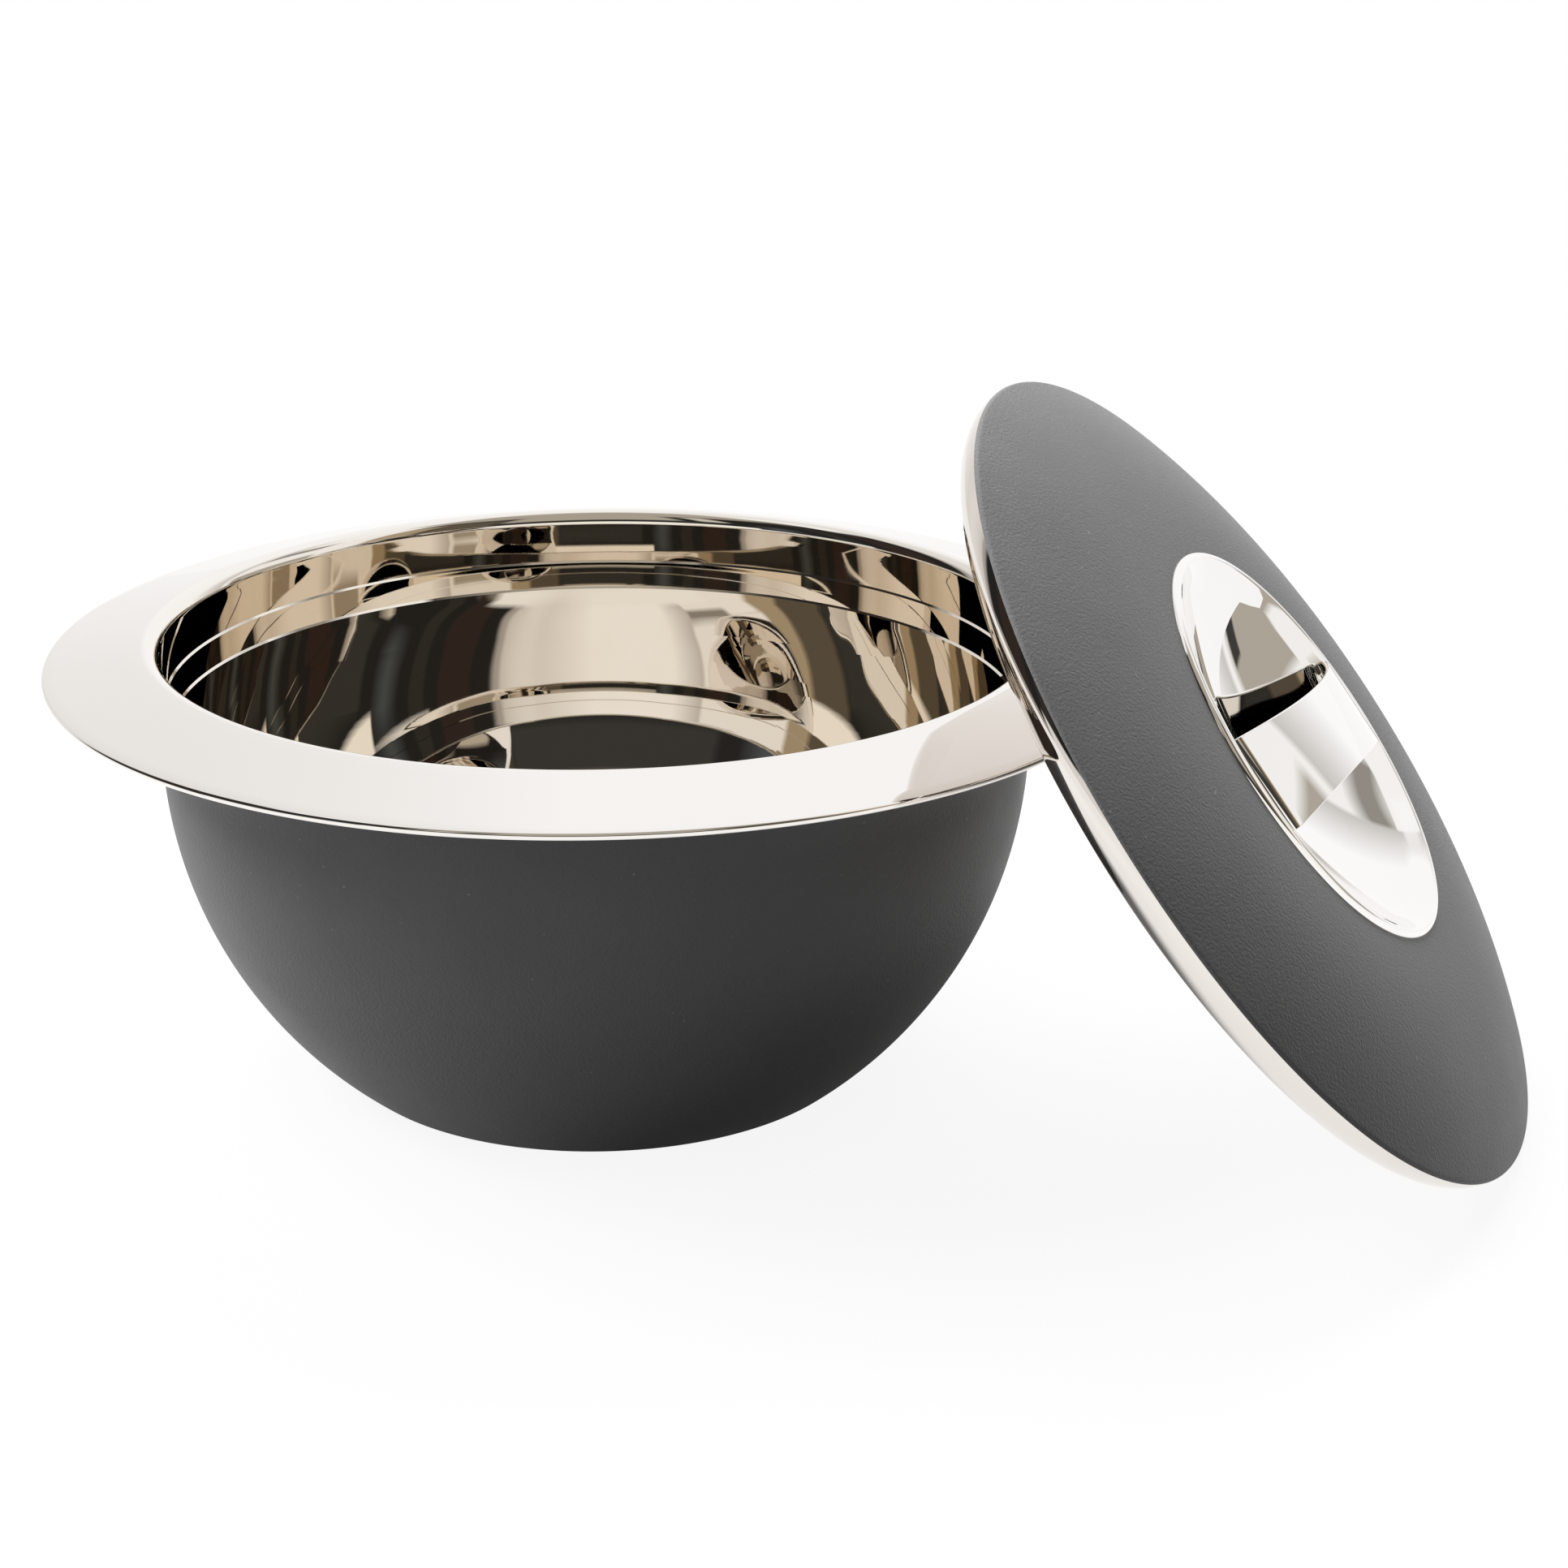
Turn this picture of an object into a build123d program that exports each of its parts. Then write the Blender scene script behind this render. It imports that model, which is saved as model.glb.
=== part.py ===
from build123d import *
from math import acos, asin, atan2, cos, degrees, hypot, pi, radians, sin, sqrt
import os

os.makedirs("parts", exist_ok=True)

# Double-walled serving bowl with its lid taken off and leaned on the bowl's rim.
# Millimetres, +Z up, origin at the middle of the bowl's base on the table.
# Every outline below is drawn as (radius, height) and turned about its axis.

# Bowl walls
belly_radius = 122.0
belly_inset = 2.45
wall_thickness = 3.2
shell_sheet = 0.7
liner_sheet = 0.7
foam_clearance = 0.1

# Bowl base
ring_stand = 0.2
base_radius = 73.908
ring_width = 11.908
recess_depth = 1.2
pad_clearance = 0.3
floor_foam = 3.7
corner_radius = 61.4

# Bowl neck, each rise and outward step counted from the point below it
neck_start_rise = 5.95
bead_rise = 0.6
bead_step = 0.525
band_rise = 7.4
band_step = 0.648
shoulder_rise = 0.6
shoulder_step = 0.476
neck_rise = 11.1
neck_step = 1.05

# Rim flange and the shell's flare below it
crest_radius = 4.0
flange_width = 27.1
lip_radius = 1.0
lip_drop = 3.1
flare_reach = 9.135
seal_height = 1.521
seal_lap = 0.4
foam_drop = 4.0

# Lid shells
lid_inset = 0.9
dome_rise = 14.099
dome_edge = 1.3
dome_sheet = 0.8
band_width = 10.35
band_drop = 9.6
belly_drop = 5.0
under_sheet = 0.7
turn_in = 2.5

# Handle dish
dish_depth = 17.1
dish_sheet = 0.8
crease_radius = 51.5
shoulder_depth = 2.547
shoulder_run = 5.7
curl_radius = 1.713
curl_rise = 1.5
hole_clearance = 0.2

# Handle strap
strap_foot_step = 0.5
strap_bend = 3.0
strap_bend_rise = 0.4
strap_arch_rise = 10.9
strap_sheet = 1.4
strap_end_width = 27.4
strap_middle_width = 22.6
strap_turn = -7.0

# Clamp under the dish
clamp_sheet = 1.2
clamp_clearance = 0.4
clamp_shelf = 13.0
stud_count = 4
stud_inset = 2.8
stud_turn = 38.0
stud_radius = 1.5
stud_clearance = 0.3
stud_end = 0.8
nut_flats = 5.5
nut_height = 2.4
thread_clearance = 0.05

# Lid foam
dish_room = 0.7
clamp_room = 0.5
foam_edge_room = 2.0

# How the lid leans
lid_azimuth = -19.93
lid_tilt = 37.95
lid_side_step = 7.4
table_clearance = 0.05
lean_clearance = 0.3

overrun = 5.0


# Drawing helpers


def polar(middle, radius, angle):
    """Point at an angle in radians on a circle about middle."""
    return (middle[0] + radius * cos(angle), middle[1] + radius * sin(angle))


def arc(middle, radius, start, end):
    """Circular arc about middle from one angle to another."""
    return ThreePointArc(
        polar(middle, radius, start),
        polar(middle, radius, (start + end) / 2),
        polar(middle, radius, end),
    )


def path(points):
    """Straight runs through the points."""
    return [Line(a, b) for a, b in zip(points[:-1], points[1:])]


def turned(edges):
    """Solid of revolution about Z of a closed (radius, height) outline."""
    return revolve(Plane.XZ * make_face(edges), Axis.Z)


def disc(radius, low, high):
    """Round plate about Z between two heights."""
    return Pos(0, 0, low) * Cylinder(radius, high - low, align=(Align.CENTER, Align.CENTER, Align.MIN))


# Bowl geometry shared by its pieces

belly_height = ring_stand + sqrt(belly_radius ** 2 - (base_radius + belly_inset) ** 2)
belly = (-belly_inset, belly_height)
liner_radius = belly_radius - wall_thickness
base_plate_top = ring_stand + recess_depth + shell_sheet
inside_floor = base_plate_top + floor_foam + foam_clearance + liner_sheet
corner_height = inside_floor + corner_radius
corner_reach = sqrt((liner_radius - corner_radius) ** 2 - (belly_height - corner_height) ** 2)
corner = (corner_reach - belly_inset, corner_height)
corner_angle = atan2(corner_height - belly_height, corner_reach)
recess_radius = base_radius - ring_width

neck_start = (sqrt(liner_radius ** 2 - neck_start_rise ** 2) - belly_inset, belly_height + neck_start_rise)
band_low = (neck_start[0] + bead_step, neck_start[1] + bead_rise)
band_high = (band_low[0] + band_step, band_low[1] + band_rise)
shoulder = (band_high[0] + shoulder_step, band_high[1] + shoulder_rise)
neck_top = (shoulder[0] + neck_step, shoulder[1] + neck_rise)

crest = (neck_top[0] + crest_radius, neck_top[1])
rim_radius = crest[0] + flange_width
lip = (rim_radius - lip_radius, crest[1] - lip_drop)
lip_run = hypot(lip[0] - crest[0], lip[1] - crest[1])
flange_fall = atan2(crest[1] - lip[1], lip[0] - crest[0]) + asin((crest_radius - lip_radius) / lip_run)
flange_up = pi / 2 - flange_fall


def belly_angle(radius, height):
    """Angle on a belly arc at a height."""
    return asin((height - belly_height) / radius)


def flare_angle(radius, height):
    """Angle on a flare arc at a height, measured from the outside."""
    return pi - asin((height - belly_height) / radius)


def flange_underside(radius):
    """Height of the flange's under face at a radius."""
    start = polar(crest, crest_radius - liner_sheet, flange_up)
    return start[1] - (radius - start[0]) * sin(flange_fall) / cos(flange_fall)


shell_edge_radius = belly_radius - belly_inset + flare_reach
shell_top = flange_underside(shell_edge_radius) - seal_height
flare_rise = shell_top - belly_height
flare_radius = (flare_rise ** 2 + flare_reach ** 2) / (2 * flare_reach)
flare = (belly_radius - belly_inset + flare_radius, belly_height)
foam_top = crest[1] - foam_drop


def liner_neck(outward):
    """Neck points from the belly up to the crest, moved outward."""
    low = belly_angle(liner_radius + outward, neck_start[1])
    return [
        polar(belly, liner_radius + outward, low),
        (band_low[0] + outward, band_low[1]),
        (band_high[0] + outward, band_high[1]),
        (shoulder[0] + outward, shoulder[1]),
        (neck_top[0] + outward, neck_top[1]),
    ]


def liner_belly(outward):
    """Floor, corner and belly of the liner from the axis up to the neck, moved outward."""
    top = belly_angle(liner_radius + outward, neck_start[1])
    floor = inside_floor - outward
    return [
        Line((0, floor), (corner[0], floor)),
        arc(corner, corner_radius + outward, -pi / 2, corner_angle),
        arc(belly, liner_radius + outward, corner_angle, top),
    ]


# Bowl pieces


def make_outer_shell():
    """Coated outer wall, one sheet thick, with a recessed base."""
    inner = belly_radius - shell_sheet
    ring_top = ring_stand + shell_sheet
    outside_low = belly_angle(belly_radius, ring_stand)
    inside_low = belly_angle(inner, ring_top)
    outside_top = flare_angle(flare_radius, shell_top)
    inside_top = flare_angle(flare_radius + shell_sheet, shell_top)
    base = [
        (0, base_plate_top),
        (0, ring_stand + recess_depth),
        (recess_radius, ring_stand + recess_depth),
        (recess_radius, ring_stand),
        polar(belly, belly_radius, outside_low),
    ]
    inside_base = [
        polar(belly, inner, inside_low),
        (recess_radius + shell_sheet, ring_top),
        (recess_radius + shell_sheet, base_plate_top),
        (0, base_plate_top),
    ]
    edges = path(base)
    edges.append(arc(belly, belly_radius, outside_low, 0))
    edges.append(arc(flare, flare_radius, pi, outside_top))
    top_edge = [polar(flare, flare_radius, outside_top), polar(flare, flare_radius + shell_sheet, inside_top)]
    edges.extend(path(top_edge))
    edges.append(arc(flare, flare_radius + shell_sheet, inside_top, pi))
    edges.append(arc(belly, inner, 0, inside_low))
    edges.extend(path(inside_base))
    return turned(edges)


def make_inner_bowl():
    """Polished liner, neck, rounded crest, sloping flange and rolled lip."""
    under_meet = flange_up + acos((lip_radius - liner_sheet) / lip_radius)
    edges = liner_belly(0)
    edges.extend(path(liner_neck(0)))
    edges.append(arc(crest, crest_radius, pi, flange_up))
    edges.append(Line(polar(crest, crest_radius, flange_up), polar(lip, lip_radius, flange_up)))
    edges.append(arc(lip, lip_radius, flange_up, under_meet - 2 * pi))
    under_crest = polar(crest, crest_radius - liner_sheet, flange_up)
    edges.append(Line(polar(lip, lip_radius, under_meet), under_crest))
    edges.append(arc(crest, crest_radius - liner_sheet, flange_up, pi))
    edges.extend(path(liner_neck(liner_sheet)))
    edges.extend(liner_belly(liner_sheet))
    edges.append(Line((0, inside_floor - liner_sheet), (0, inside_floor)))
    return turned(edges)


def make_bowl_insulation():
    """Foam between the two walls, standing on the base plate."""
    outer = belly_radius - shell_sheet - foam_clearance
    flare_outer = flare_radius + shell_sheet + foam_clearance
    inward = liner_sheet + foam_clearance
    low = belly_angle(outer, base_plate_top)
    top = flare_angle(flare_outer, foam_top)
    neck = liner_neck(inward)[:-1]
    inside_top = neck_top[0] + inward
    floor = inside_floor - inward
    edges = [Line((0, base_plate_top), polar(belly, outer, low))]
    edges.append(arc(belly, outer, low, 0))
    edges.append(arc(flare, flare_outer, pi, top))
    edges.extend(path([polar(flare, flare_outer, top), (inside_top, foam_top), neck[-1]]))
    edges.extend(path(neck))
    edges.extend(liner_belly(inward))
    edges.append(Line((0, floor), (0, base_plate_top)))
    return turned(edges)


def make_rim_seal():
    """Soft ring between the shell's top edge and the flange's under face."""
    outside = shell_edge_radius + seal_lap
    inside = flare[0] - sqrt((flare_radius + shell_sheet) ** 2 - flare_rise ** 2) - seal_lap
    corners = [
        (inside, shell_top),
        (outside, shell_top),
        (outside, flange_underside(outside)),
        (inside, flange_underside(inside)),
        (inside, shell_top),
    ]
    return turned(path(corners))


def make_base_pad():
    """Soft disc in the base recess, standing just below the shell."""
    return disc(recess_radius - pad_clearance, 0, ring_stand + recess_depth)


# Lid geometry shared by its pieces, in the lid's own frame with heights along its axis

dish_sag = dish_depth - shoulder_depth
dish_radius = (crease_radius ** 2 + dish_sag ** 2) / (2 * dish_sag)
curl_crest_radius = crease_radius + shoulder_run
curl_foot = asin((curl_radius - curl_rise) / curl_radius)
seat_radius = curl_crest_radius + curl_radius * cos(curl_foot)

lid_radius = crest[0] - lid_inset
dome_middle_radius = lid_radius - dome_edge
dome_run = dome_middle_radius - seat_radius
dome_sag = dome_rise - dome_edge
dome_radius = dome_edge + (dome_run ** 2 + dome_sag ** 2) / (2 * dome_sag)
dome_top = dome_rise
dome = (seat_radius, dome_top - dome_radius)
edge_angle = atan2(-dome[1], dome_run)
band_radius = lid_radius - band_width
under_radius = (band_radius ** 2 + belly_drop ** 2) / (2 * belly_drop)
under_middle = under_radius - band_drop - belly_drop

dish_middle = dome_top - dish_depth + dish_radius
crease = (crease_radius, dome_top - shoulder_depth)
curl = (curl_crest_radius, dome_top + curl_rise - curl_radius)
curl_run = hypot(curl[0] - crease[0], curl[1] - crease[1])
shoulder_slope = atan2(curl[1] - crease[1], curl[0] - crease[0]) + asin(curl_radius / curl_run)
hole_edge_rise = shoulder_depth + dish_sheet * cos(shoulder_slope)
hole_edge_run = hole_edge_rise * cos(shoulder_slope) / sin(shoulder_slope)
hole_radius = crease[0] + dish_sheet * sin(shoulder_slope) + hole_edge_run + hole_clearance

clamp_lower_radius = hole_radius - clamp_shelf
clamp_room_height = dish_middle - sqrt((dish_radius + dish_sheet) ** 2 - clamp_lower_radius ** 2)
nut_seat = clamp_room_height - clamp_clearance - clamp_sheet
stud_places = PolarLocations(clamp_lower_radius + stud_inset, stud_count, stud_turn)


def under_height(radius, upward):
    """Height of the lid's under face at a radius, moved upward by a sheet."""
    return under_middle - sqrt((under_radius - upward) ** 2 - radius ** 2)


def band_arc(width, drop, end):
    """Part of the band's ellipse from its lowest point up to an angle in radians short of level."""
    sweep = degrees(pi / 2 - end)
    return EllipticalCenterArc((band_radius, 0), width, drop, degrees(3 * pi / 2), arc_size=sweep)


def dome_height(radius, downward):
    """Height of the coated dome at a radius, moved downward by a sheet."""
    return dome[1] + sqrt((dome_radius - downward) ** 2 - (radius - seat_radius) ** 2)


def dish_profile(below):
    """Edges of the dish face from the axis out to the curl, moved below the seen face."""
    normal = (sin(shoulder_slope), -cos(shoulder_slope))
    along = (cos(shoulder_slope), sin(shoulder_slope))
    start = (crease[0] + below * normal[0], crease[1] + below * normal[1] - dish_middle)
    slant = start[0] * along[0] + start[1] * along[1]
    reach = (dish_radius + below) ** 2 - start[0] ** 2 - start[1] ** 2
    slide = -slant - sqrt(slant ** 2 + reach)
    meet = (start[0] + slide * along[0], start[1] + slide * along[1] + dish_middle)
    turn = pi / 2 + shoulder_slope
    meet_angle = atan2(meet[1] - dish_middle, meet[0])
    foot = asin((dome_top - curl[1]) / (curl_radius - below))
    return [
        arc((0, dish_middle), dish_radius + below, -pi / 2, meet_angle),
        Line(meet, polar(curl, curl_radius - below, turn)),
        arc(curl, curl_radius - below, turn, foot),
    ]


# Lid pieces


def make_lid_top_shell():
    """Coated dome with a level seat and a round hole for the dish."""
    inner_edge = dome_edge - dome_sheet
    edge_middle = (dome_middle_radius, 0)
    edges = [Line((lid_radius - dome_sheet, 0), (lid_radius, 0))]
    edges.append(arc(edge_middle, dome_edge, 0, edge_angle))
    edges.append(arc(dome, dome_radius, edge_angle, pi / 2))
    edges.extend(
        path(
            [
                (seat_radius, dome_top),
                (hole_radius, dome_top),
                (hole_radius, dome_top - dome_sheet),
                (seat_radius, dome_top - dome_sheet),
            ]
        )
    )
    edges.append(arc(dome, dome_radius - dome_sheet, pi / 2, edge_angle))
    edges.append(arc(edge_middle, inner_edge, edge_angle, 0))
    return turned(edges)


def make_lid_under_shell():
    """Polished pan under the lid with a rounded band and a turned-in rim."""
    inner_width = band_width - under_sheet
    inner_drop = band_drop - under_sheet
    start = asin(under_sheet / inner_drop)
    inner_start = band_radius + inner_width * cos(start)
    bowl_inner = under_height(band_radius, under_sheet)
    outer_band = band_arc(band_width, band_drop, 0)
    inner_band = band_arc(inner_width, inner_drop, start)
    edges = [
        arc((0, under_middle), under_radius, -pi / 2, atan2(-band_drop - under_middle, band_radius)),
        outer_band,
    ]
    edges.extend(
        path(
            [
                (lid_radius, 0),
                (lid_radius - turn_in, 0),
                (lid_radius - turn_in, -under_sheet),
                (inner_start, -under_sheet),
            ]
        )
    )
    edges.append(inner_band)
    edges.append(Line((band_radius, -inner_drop), (band_radius, bowl_inner)))
    inner_end = atan2(bowl_inner - under_middle, band_radius)
    edges.append(arc((0, under_middle), under_radius - under_sheet, inner_end, -pi / 2))
    edges.append(Line((0, under_height(0, under_sheet)), (0, under_height(0, 0))))
    return turned(edges)


def make_handle_dish():
    """Polished dish whose curled edge stands on the dome's seat."""
    outer_foot = polar(curl, curl_radius, curl_foot)
    inner = curl_radius - dish_sheet
    inner_foot = polar(curl, inner, asin((dome_top - curl[1]) / inner))
    edges = dish_profile(0)
    edges.append(Line(outer_foot, inner_foot))
    edges.extend(dish_profile(dish_sheet))
    edges.append(Line((0, dish_middle - dish_radius - dish_sheet), (0, dish_middle - dish_radius)))
    return turned(edges)


def dish_body():
    """Everything below the dish's seen face, used to trim the strap's feet."""
    low = dish_middle - dish_radius - overrun
    foot = polar(curl, curl_radius, curl_foot)
    edges = dish_profile(0)
    edges.extend(path([foot, (foot[0], low), (0, low), (0, dish_middle - dish_radius)]))
    return turned(edges)


def make_handle_strap():
    """Waisted sheet strap arched over the dish, its feet trimmed to the dish."""
    strap_half_length = crease_radius + strap_foot_step
    bend = (strap_half_length - strap_bend, dome_top - strap_bend_rise)
    top = dome_top + strap_arch_rise
    rise = top - bend[1]
    arch = (bend[0] ** 2 + rise ** 2 - strap_bend ** 2) / (2 * (rise - strap_bend))
    middle = (0, top - arch)
    lean = atan2(bend[1] - middle[1], bend[0])
    foot = crease[1] - overrun
    inner_bend = strap_bend - strap_sheet
    edges = [
        Line((-strap_half_length, foot), (-strap_half_length, bend[1])),
        arc((-bend[0], bend[1]), strap_bend, pi, pi - lean),
        arc(middle, arch, pi - lean, lean),
        arc(bend, strap_bend, lean, 0),
        Line((strap_half_length, bend[1]), (strap_half_length, foot)),
        Line((strap_half_length, foot), (strap_half_length - strap_sheet, foot)),
        Line((strap_half_length - strap_sheet, foot), (strap_half_length - strap_sheet, bend[1])),
        arc(bend, inner_bend, 0, lean),
        arc(middle, arch - strap_sheet, lean, pi - lean),
        arc((-bend[0], bend[1]), inner_bend, pi - lean, pi),
        Line((strap_sheet - strap_half_length, bend[1]), (strap_sheet - strap_half_length, foot)),
        Line((strap_sheet - strap_half_length, foot), (-strap_half_length, foot)),
    ]
    side = Plane.XZ * make_face(edges)
    band = extrude(side, amount=strap_end_width, both=True)
    end = strap_end_width / 2
    waist = strap_middle_width / 2
    plan = make_face(
        [
            ThreePointArc((-strap_half_length, end), (0, waist), (strap_half_length, end)),
            Line((strap_half_length, end), (strap_half_length, -end)),
            ThreePointArc((strap_half_length, -end), (0, -waist), (-strap_half_length, -end)),
            Line((-strap_half_length, -end), (-strap_half_length, end)),
        ]
    )
    strap = band & extrude(plan, amount=top + overrun, both=True)
    return Rot(0, 0, strap_turn) * strap - dish_body()


def make_dish_clamp_ring():
    """Stepped ring that presses under the dome's seat and carries the studs' nuts."""
    top = dome_top - dome_sheet
    wall = hole_radius + clamp_sheet
    corners = [
        (hole_radius, top),
        (seat_radius, top),
        (seat_radius, top - clamp_sheet),
        (wall, top - clamp_sheet),
        (wall, nut_seat),
        (clamp_lower_radius, nut_seat),
        (clamp_lower_radius, nut_seat + clamp_sheet),
        (hole_radius, nut_seat + clamp_sheet),
        (hole_radius, top),
    ]
    ring = turned(path(corners))
    hole = disc(stud_radius + stud_clearance, nut_seat - overrun, nut_seat + clamp_sheet + overrun)
    return ring - stud_places * hole


def below_dish(low):
    """Space under the dish's bowl down to a height, used to trim the studs' tops."""
    radius = dish_radius + dish_sheet
    edge = asin(crease_radius / radius) - pi / 2
    outer = polar((0, dish_middle), radius, edge)
    edges = [arc((0, dish_middle), radius, -pi / 2, edge)]
    edges.extend(path([outer, (outer[0], low), (0, low), (0, dish_middle - radius)]))
    return turned(edges)


def make_dish_studs():
    """Studs welded under the dish, trimmed to its under face."""
    low = nut_seat - nut_height - stud_end
    studs = stud_places * disc(stud_radius, low, dome_top)
    below = below_dish(low - overrun)
    return [stud & below for stud in studs]


def make_dish_nuts():
    """Plain hexagon nuts under the clamp ring."""
    blank = extrude(RegularPolygon(nut_flats / 2, 6, major_radius=False), amount=nut_height)
    nut = Pos(0, 0, nut_seat - nut_height) * blank
    nut -= disc(stud_radius + thread_clearance, nut_seat - nut_height - overrun, nut_seat + overrun)
    return stud_places * nut


def make_lid_insulation():
    """Foam ring and disc lying in the pan, clear of the dish and its clamp."""
    lift = under_sheet + foam_clearance
    skin = dome_sheet + foam_clearance
    outside = lid_radius - turn_in - foam_edge_room
    inside = seat_radius + clamp_room
    inner_width = band_width - lift
    inner_drop = band_drop - lift
    end = acos((outside - band_radius) / inner_width)
    top = dish_middle - dish_radius - dish_sheet - dish_room
    outer_low = -inner_drop * sin(end)
    bowl_edge = under_height(band_radius, lift)
    low_start = atan2(bowl_edge - under_middle, band_radius)
    edges = [arc((0, under_middle), under_radius - lift, -pi / 2, low_start)]
    edges.append(Line((band_radius, bowl_edge), (band_radius, -inner_drop)))
    edges.append(band_arc(inner_width, inner_drop, end))
    edges.append(Line((outside, outer_low), (outside, dome_height(outside, skin))))
    outer_angle = atan2(dome_height(outside, skin) - dome[1], outside - dome[0])
    inner_angle = atan2(dome_height(inside, skin) - dome[1], inside - dome[0])
    edges.append(arc(dome, dome_radius - skin, outer_angle, inner_angle))
    edges.extend(
        path([(inside, dome_height(inside, skin)), (inside, top), (0, top), (0, under_height(0, lift))])
    )
    return turned(edges)


# Where the lid leans: its band stands on the table and its under face rests on the rim's lip

azimuth = radians(lid_azimuth)
tilt = radians(lid_tilt)
band_reach = hypot(band_width * cos(tilt), band_drop * sin(tilt))
lid_height = band_radius * cos(tilt) + band_reach + table_clearance
ball_height = lid_height + under_middle * sin(tilt)
ball_gap = under_radius + lip_radius + lean_clearance
ball_reach = lip[0] + sqrt(ball_gap ** 2 - (ball_height - lip[1]) ** 2)
lid_distance = sqrt(ball_reach ** 2 - lid_side_step ** 2) - under_middle * cos(tilt)
lid_place = Plane(
    origin=(
        lid_distance * cos(azimuth) - lid_side_step * sin(azimuth),
        lid_distance * sin(azimuth) + lid_side_step * cos(azimuth),
        lid_height,
    ),
    x_dir=(-sin(azimuth), cos(azimuth), 0),
    z_dir=(cos(tilt) * cos(azimuth), cos(tilt) * sin(azimuth), sin(tilt)),
)


def leaned(shape):
    """Lid piece moved from the lid's own frame to where the lid leans."""
    return lid_place.location * shape


bowl_pieces = {
    "outer_shell": make_outer_shell(),
    "inner_bowl": make_inner_bowl(),
    "bowl_insulation": make_bowl_insulation(),
    "rim_seal": make_rim_seal(),
    "base_pad": make_base_pad(),
}
lid_pieces = {
    "lid_top_shell": make_lid_top_shell(),
    "lid_under_shell": make_lid_under_shell(),
    "lid_insulation": make_lid_insulation(),
    "handle_dish": make_handle_dish(),
    "handle_strap": make_handle_strap(),
    "dish_clamp_ring": make_dish_clamp_ring(),
    "dish_studs": Compound(children=make_dish_studs()),
    "dish_nuts": Compound(children=list(make_dish_nuts())),
}
for name, shape in bowl_pieces.items():
    export_step(shape, f"parts/{name}.step")
for name, shape in lid_pieces.items():
    export_step(leaned(shape), f"parts/{name}.step")
print("lid centre", tuple(lid_place.origin), "axis", tuple(lid_place.z_dir))
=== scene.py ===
# %% [markdown]
# # An insulated serving bowl and its lid
# The bowl stands on the floor and its lid leans on the rim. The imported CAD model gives
# the places and the sizes. Its surfaces could be shown as they come, but polished
# steel mirrors every facet, so each seen surface is made again here as a finely
# divided mesh. Every piece then gets a finish built from nodes.

# %% Load the frame
import bpy
import numpy as np
from mathutils import Matrix, Vector


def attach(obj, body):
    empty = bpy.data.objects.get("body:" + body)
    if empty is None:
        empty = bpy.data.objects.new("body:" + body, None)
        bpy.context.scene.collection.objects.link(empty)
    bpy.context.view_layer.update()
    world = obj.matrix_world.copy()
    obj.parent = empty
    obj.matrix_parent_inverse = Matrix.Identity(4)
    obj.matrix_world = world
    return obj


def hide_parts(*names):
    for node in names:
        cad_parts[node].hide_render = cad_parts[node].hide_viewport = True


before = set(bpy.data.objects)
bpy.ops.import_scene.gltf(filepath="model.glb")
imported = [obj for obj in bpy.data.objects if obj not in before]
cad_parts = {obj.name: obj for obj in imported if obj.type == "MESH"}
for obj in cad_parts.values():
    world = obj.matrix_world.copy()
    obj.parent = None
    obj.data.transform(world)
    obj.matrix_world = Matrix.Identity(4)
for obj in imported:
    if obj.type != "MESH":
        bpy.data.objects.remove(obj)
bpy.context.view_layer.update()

print("nodes", sorted(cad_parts))

# %% [markdown]
# ## The camera
# The camera was solved from the ellipses of the rim and the lid. It stands nearly a
# metre away, looks down about twenty degrees and is turned a few degrees to the
# right. It could be aimed with a constraint, but a matrix made from its right, up and
# backward directions needs nothing else. A camera looks along its own -Z with +Y up.

# %% Camera
camera_place = Vector((0.0, -0.8563, 0.3819))
camera_turn, camera_fall, camera_roll = 0.0603, 0.3416, 0.0015
camera_lens, camera_sensor, camera_sight = 74.383, 36.0, 50.0

forward = Vector((
    np.sin(camera_turn) * np.cos(camera_fall),
    np.cos(camera_turn) * np.cos(camera_fall),
    -np.sin(camera_fall),
))
level = Vector((np.cos(camera_turn), -np.sin(camera_turn), 0.0))
upright = level.cross(forward)
right = level * np.cos(camera_roll) + upright * np.sin(camera_roll)
up = upright * np.cos(camera_roll) - level * np.sin(camera_roll)
camera_data = bpy.data.cameras.new("camera")
camera_data.lens = camera_lens
camera_data.sensor_width = camera_sensor
camera_data.clip_end = camera_sight
camera = bpy.data.objects.new("camera", camera_data)
columns = Matrix((right, up, -forward)).transposed()
camera.matrix_world = Matrix.Translation(camera_place) @ columns.to_4x4()
bpy.context.scene.collection.objects.link(camera)
bpy.context.scene.camera = camera
bpy.context.scene.view_settings.view_transform = "Standard"
print("camera at", tuple(round(v, 4) for v in camera_place))

# %% [markdown]
# ## Drawing a profile
# A pressed or spun piece is a profile turned about an axis, so only the profile has to
# be drawn. Here it is an array of (radius, height) points in millimetres. It could be
# a bezier curve, but the real corners are circular, so they are worked out as arcs,
# cut into steps short enough to keep the reflections smooth.

# %% Profile helpers
same_point = 1e-5


def polar(middle, radius, angle):
    """Point or points on a circle: middle plus radius times (cos angle, sin angle)."""
    across = middle[0] + radius * np.cos(angle)
    height = middle[1] + radius * np.sin(angle)
    return np.stack([across, height], axis=-1)


def arc(middle, radius, start, end, steps):
    """Points on a circle about middle at evenly spaced angles from start to end."""
    return polar(middle, radius, np.linspace(start, end, steps + 1))


def run(start, end, steps):
    """Points on a straight line: start times (1 - share) plus end times share."""
    shares = np.linspace(0.0, 1.0, steps + 1)[:, None]
    return np.asarray(start)[None, :] * (1 - shares) + np.asarray(end)[None, :] * shares


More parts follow.
